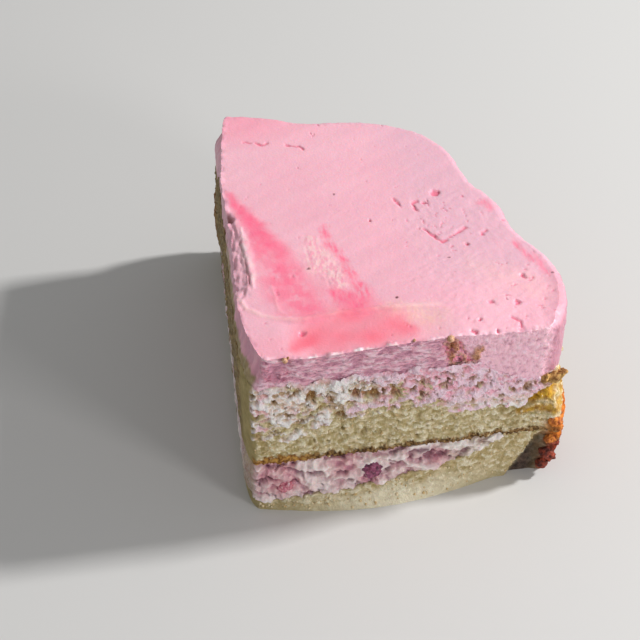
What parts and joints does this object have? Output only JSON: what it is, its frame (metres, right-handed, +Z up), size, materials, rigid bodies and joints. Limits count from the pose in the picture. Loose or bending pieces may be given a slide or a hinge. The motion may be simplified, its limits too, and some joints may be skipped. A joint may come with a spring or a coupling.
{
  "type": "layer cake piece",
  "caption": "Large cut piece of a round layered sponge cake, with fruit cream between the sponges and a thick spread of pink icing over the top and the outer side.",
  "frame": {"origin": "middle of the footprint, on the plane that the piece stands on", "axes": "+Z up; -Y faces the long front cut; -X faces the left cut; the round outer side is towards +X and +Y"},
  "size_m": [0.1012, 0.1302, 0.0612],
  "materials": {
    "icing": "satin pink buttercream with darker strokes",
    "sponge": "open pale yellow crumb with a golden brown crust",
    "filling": "moist mauve fruit cream",
    "berry": "wet soft fruit"
  },
  "bodies": {
    "root": {"lower_sponge": "sponge", "filling": "filling", "upper_sponge": "sponge", "icing": "icing", "berry_dark": "berry", "berry_red": "berry"}
  },
  "joints": []
}
